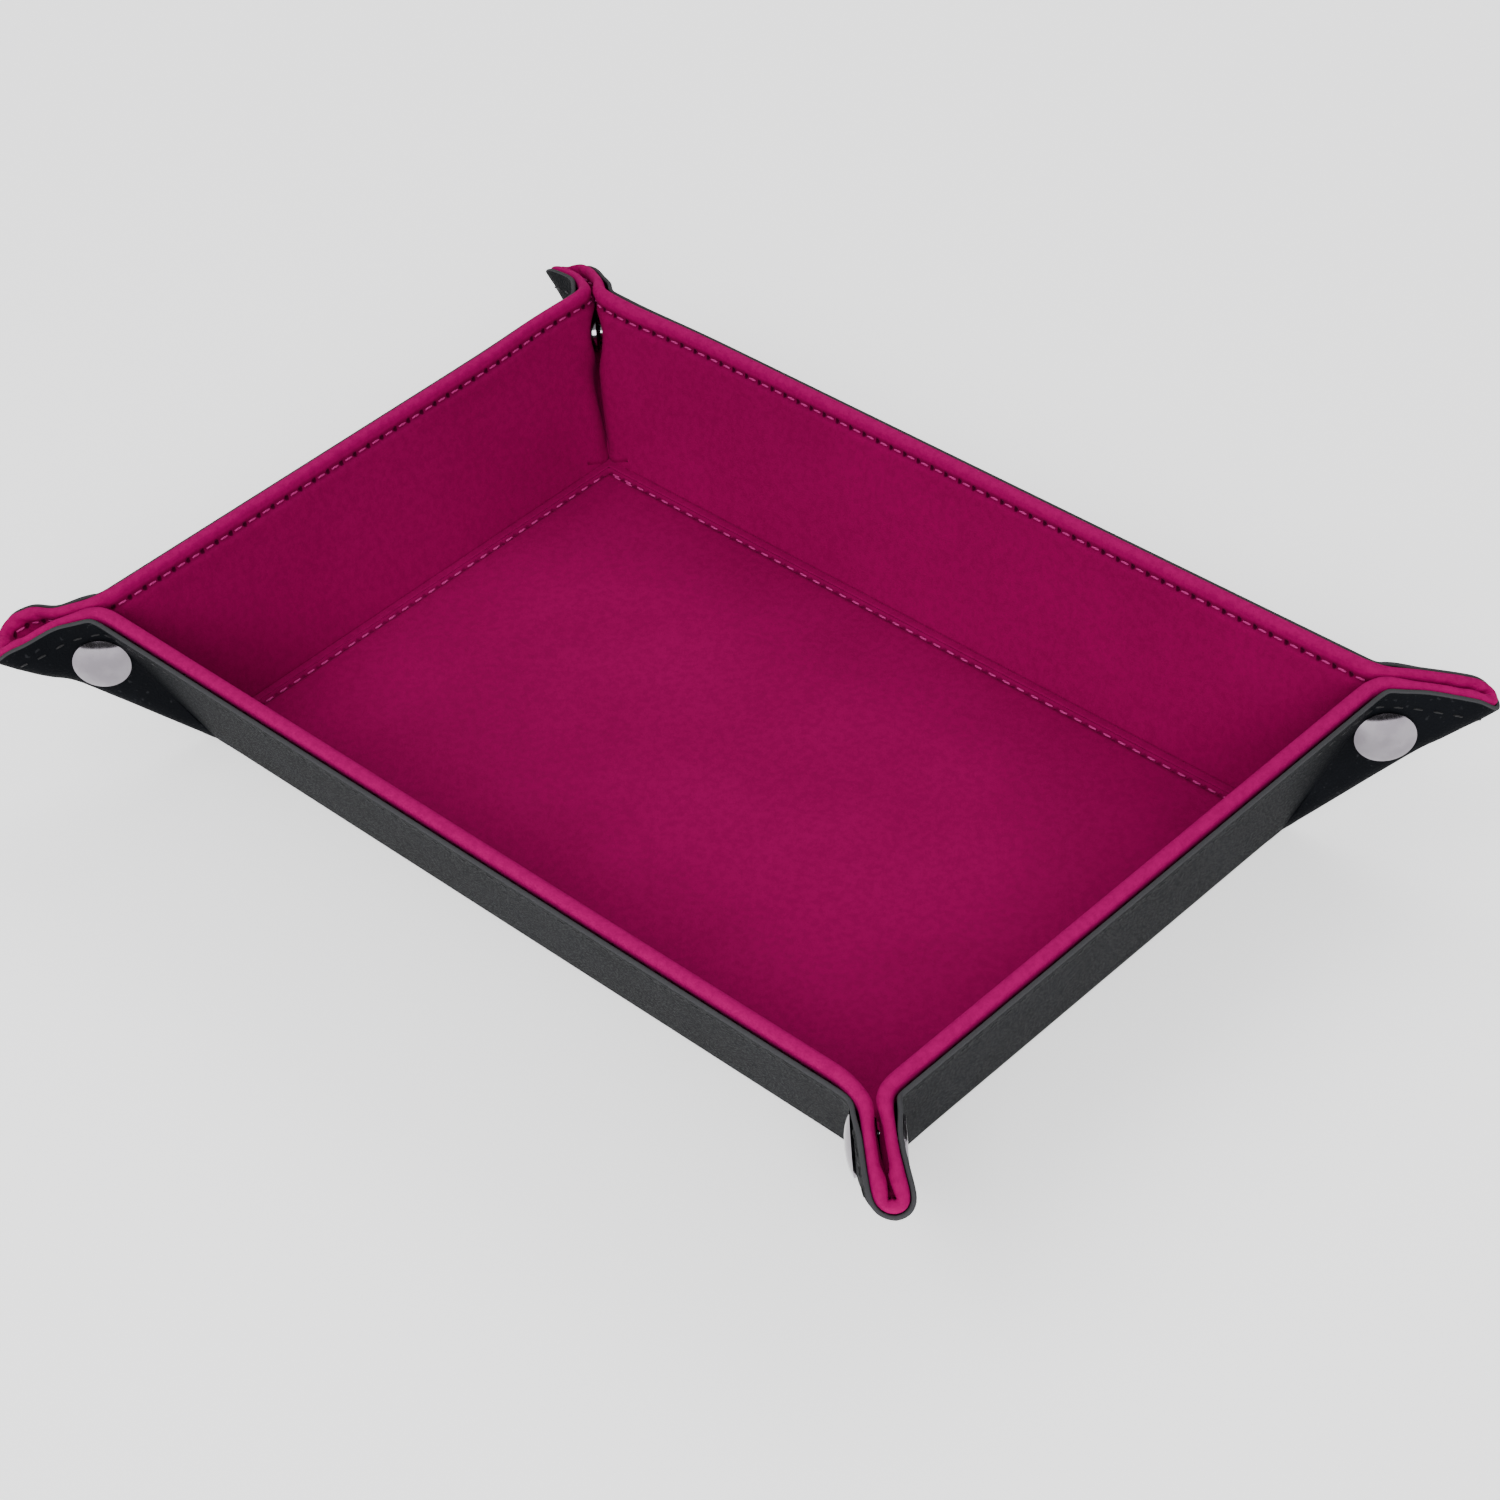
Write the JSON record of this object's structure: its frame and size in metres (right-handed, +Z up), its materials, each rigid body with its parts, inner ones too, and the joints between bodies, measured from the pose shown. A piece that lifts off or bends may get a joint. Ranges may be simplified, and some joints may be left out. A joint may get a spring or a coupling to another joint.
{
  "type": "folding dice tray",
  "caption": "Rectangular dice tray of padded velvet and leather with four flared walls, pinched at the corners by snaps and opening flat.",
  "frame": {"origin": "middle of the underside, on the surface it rests on", "axes": "+Z up; +X along the long side; the front (-Y) wall carries a snap cap at each end"},
  "size_m": [0.2626, 0.1856, 0.0382],
  "materials": {
    "leather": "black grained synthetic leather, semi-matt",
    "board": "grey stiffener board, uncoated",
    "velvet": "deep magenta short-pile velvet on soft foam",
    "thread": "pink polyester sewing thread",
    "nickel": "polished nickel plate"
  },
  "bodies": {
    "base": {"base_cover": "leather", "base_board": "board", "base_liner": "velvet", "base_thread": "thread"},
    "front_wall": {"front_cover": "leather", "front_board": "board", "front_liner": "velvet", "front_rim_thread": "thread"},
    "right_wall": {"right_cover": "leather", "right_board": "board", "right_liner": "velvet", "right_rim_thread": "thread"},
    "back_wall": {"back_cover": "leather", "back_board": "board", "back_liner": "velvet", "back_rim_thread": "thread"},
    "left_wall": {"left_cover": "leather", "left_board": "board", "left_liner": "velvet", "left_rim_thread": "thread"},
    "front_left_long_ear": {"front_left_long_ear_cover": "leather", "front_left_long_ear_liner": "velvet", "front_left_snap_cap": "nickel", "front_left_snap_socket": "nickel"},
    "front_left_long_tip": {"front_left_long_tip_strip": "leather"},
    "front_left_short_ear": {"front_left_short_ear_cover": "leather", "front_left_short_ear_liner": "velvet", "front_left_snap_stud": "nickel", "front_left_snap_back": "nickel"},
    "front_left_short_tip": {"front_left_short_tip_strip": "leather"},
    "front_right_long_ear": {"front_right_long_ear_cover": "leather", "front_right_long_ear_liner": "velvet", "front_right_snap_cap": "nickel", "front_right_snap_socket": "nickel"},
    "front_right_long_tip": {"front_right_long_tip_strip": "leather"},
    "front_right_short_ear": {"front_right_short_ear_cover": "leather", "front_right_short_ear_liner": "velvet", "front_right_snap_stud": "nickel", "front_right_snap_back": "nickel"},
    "front_right_short_tip": {"front_right_short_tip_strip": "leather"},
    "back_right_short_ear": {"back_right_short_ear_cover": "leather", "back_right_short_ear_liner": "velvet", "back_right_snap_cap": "nickel", "back_right_snap_socket": "nickel"},
    "back_right_short_tip": {"back_right_short_tip_strip": "leather"},
    "back_right_long_ear": {"back_right_long_ear_cover": "leather", "back_right_long_ear_liner": "velvet", "back_right_snap_stud": "nickel", "back_right_snap_back": "nickel"},
    "back_right_long_tip": {"back_right_long_tip_strip": "leather"},
    "back_left_short_ear": {"back_left_short_ear_cover": "leather", "back_left_short_ear_liner": "velvet", "back_left_snap_cap": "nickel", "back_left_snap_socket": "nickel"},
    "back_left_short_tip": {"back_left_short_tip_strip": "leather"},
    "back_left_long_ear": {"back_left_long_ear_cover": "leather", "back_left_long_ear_liner": "velvet", "back_left_snap_stud": "nickel", "back_left_snap_back": "nickel"},
    "back_left_long_tip": {"back_left_long_tip_strip": "leather"}
  },
  "joints": [
    {"name": "front_wall_fold", "type": "hinge", "parent": "base", "child": "front_wall", "pos_m": [0, -0.0605, 0.002], "axis": [1, 0, 0], "range_deg": [0, 67.5]},
    {"name": "right_wall_fold", "type": "hinge", "parent": "base", "child": "right_wall", "pos_m": [0.099, 0, 0.002], "axis": [0, 1, 0], "range_deg": [0, 67.5]},
    {"name": "back_wall_fold", "type": "hinge", "parent": "base", "child": "back_wall", "pos_m": [0, 0.0605, 0.002], "axis": [-1, 0, 0], "range_deg": [0, 67.5]},
    {"name": "left_wall_fold", "type": "hinge", "parent": "base", "child": "left_wall", "pos_m": [-0.099, 0, 0.002], "axis": [0, -1, 0], "range_deg": [0, 67.5]},
    {"name": "front_left_long_ear_fold", "type": "hinge", "parent": "front_wall", "child": "front_left_long_ear", "pos_m": [-0.10282, -0.06765, 0.01926], "axis": [0.3574, 0.3574, -0.8629], "range_deg": [0, 49.21]},
    {"name": "front_left_long_tip_fold", "type": "hinge", "parent": "front_left_long_ear", "child": "front_left_long_tip", "pos_m": [-0.10162, -0.06573, 0.00703], "axis": [-0.5751, -0.5751, 0.5818], "range_deg": [0, 90]},
    {"name": "front_left_short_ear_fold", "type": "hinge", "parent": "left_wall", "child": "front_left_short_ear", "pos_m": [-0.10615, -0.06432, 0.01926], "axis": [-0.3574, -0.3574, 0.8629], "range_deg": [0, 49.21]},
    {"name": "front_left_short_tip_fold", "type": "hinge", "parent": "front_left_short_ear", "child": "front_left_short_tip", "pos_m": [-0.10423, -0.06312, 0.00703], "axis": [0.5751, 0.5751, -0.5818], "range_deg": [0, 90]},
    {"name": "front_right_long_ear_fold", "type": "hinge", "parent": "front_wall", "child": "front_right_long_ear", "pos_m": [0.10282, -0.06765, 0.01926], "axis": [0.3574, -0.3574, 0.8629], "range_deg": [0, 49.21]},
    {"name": "front_right_long_tip_fold", "type": "hinge", "parent": "front_right_long_ear", "child": "front_right_long_tip", "pos_m": [0.10162, -0.06573, 0.00703], "axis": [-0.5751, 0.5751, -0.5818], "range_deg": [0, 90]},
    {"name": "front_right_short_ear_fold", "type": "hinge", "parent": "right_wall", "child": "front_right_short_ear", "pos_m": [0.10615, -0.06432, 0.01926], "axis": [-0.3574, 0.3574, -0.8629], "range_deg": [0, 49.21]},
    {"name": "front_right_short_tip_fold", "type": "hinge", "parent": "front_right_short_ear", "child": "front_right_short_tip", "pos_m": [0.10423, -0.06312, 0.00703], "axis": [0.5751, -0.5751, 0.5818], "range_deg": [0, 90]},
    {"name": "back_right_short_ear_fold", "type": "hinge", "parent": "right_wall", "child": "back_right_short_ear", "pos_m": [0.10615, 0.06432, 0.01926], "axis": [0.3574, 0.3574, 0.8629], "range_deg": [0, 49.21]},
    {"name": "back_right_short_tip_fold", "type": "hinge", "parent": "back_right_short_ear", "child": "back_right_short_tip", "pos_m": [0.10423, 0.06312, 0.00703], "axis": [-0.5751, -0.5751, -0.5818], "range_deg": [0, 90]},
    {"name": "back_right_long_ear_fold", "type": "hinge", "parent": "back_wall", "child": "back_right_long_ear", "pos_m": [0.10282, 0.06765, 0.01926], "axis": [-0.3574, -0.3574, -0.8629], "range_deg": [0, 49.21]},
    {"name": "back_right_long_tip_fold", "type": "hinge", "parent": "back_right_long_ear", "child": "back_right_long_tip", "pos_m": [0.10162, 0.06573, 0.00703], "axis": [0.5751, 0.5751, 0.5818], "range_deg": [0, 90]},
    {"name": "back_left_short_ear_fold", "type": "hinge", "parent": "left_wall", "child": "back_left_short_ear", "pos_m": [-0.10615, 0.06432, 0.01926], "axis": [0.3574, -0.3574, -0.8629], "range_deg": [0, 49.21]},
    {"name": "back_left_short_tip_fold", "type": "hinge", "parent": "back_left_short_ear", "child": "back_left_short_tip", "pos_m": [-0.10423, 0.06312, 0.00703], "axis": [-0.5751, 0.5751, 0.5818], "range_deg": [0, 90]},
    {"name": "back_left_long_ear_fold", "type": "hinge", "parent": "back_wall", "child": "back_left_long_ear", "pos_m": [-0.10282, 0.06765, 0.01926], "axis": [-0.3574, 0.3574, 0.8629], "range_deg": [0, 49.21]},
    {"name": "back_left_long_tip_fold", "type": "hinge", "parent": "back_left_long_ear", "child": "back_left_long_tip", "pos_m": [-0.10162, 0.06573, 0.00703], "axis": [0.5751, -0.5751, -0.5818], "range_deg": [0, 90]}
  ],
  "couplings": [
    {"joint": "right_wall_fold", "follows": "front_wall_fold", "ratio": 1},
    {"joint": "back_wall_fold", "follows": "front_wall_fold", "ratio": 1},
    {"joint": "left_wall_fold", "follows": "front_wall_fold", "ratio": 1},
    {"joint": "front_left_long_ear_fold", "follows": "front_wall_fold", "ratio": 0.72904},
    {"joint": "front_left_long_tip_fold", "follows": "front_wall_fold", "ratio": 1.3333},
    {"joint": "front_left_short_ear_fold", "follows": "front_wall_fold", "ratio": 0.72904},
    {"joint": "front_left_short_tip_fold", "follows": "front_wall_fold", "ratio": 1.3333},
    {"joint": "front_right_long_ear_fold", "follows": "front_wall_fold", "ratio": 0.72904},
    {"joint": "front_right_long_tip_fold", "follows": "front_wall_fold", "ratio": 1.3333},
    {"joint": "front_right_short_ear_fold", "follows": "front_wall_fold", "ratio": 0.72904},
    {"joint": "front_right_short_tip_fold", "follows": "front_wall_fold", "ratio": 1.3333},
    {"joint": "back_right_short_ear_fold", "follows": "front_wall_fold", "ratio": 0.72904},
    {"joint": "back_right_short_tip_fold", "follows": "front_wall_fold", "ratio": 1.3333},
    {"joint": "back_right_long_ear_fold", "follows": "front_wall_fold", "ratio": 0.72904},
    {"joint": "back_right_long_tip_fold", "follows": "front_wall_fold", "ratio": 1.3333},
    {"joint": "back_left_short_ear_fold", "follows": "front_wall_fold", "ratio": 0.72904},
    {"joint": "back_left_short_tip_fold", "follows": "front_wall_fold", "ratio": 1.3333},
    {"joint": "back_left_long_ear_fold", "follows": "front_wall_fold", "ratio": 0.72904},
    {"joint": "back_left_long_tip_fold", "follows": "front_wall_fold", "ratio": 1.3333}
  ]
}
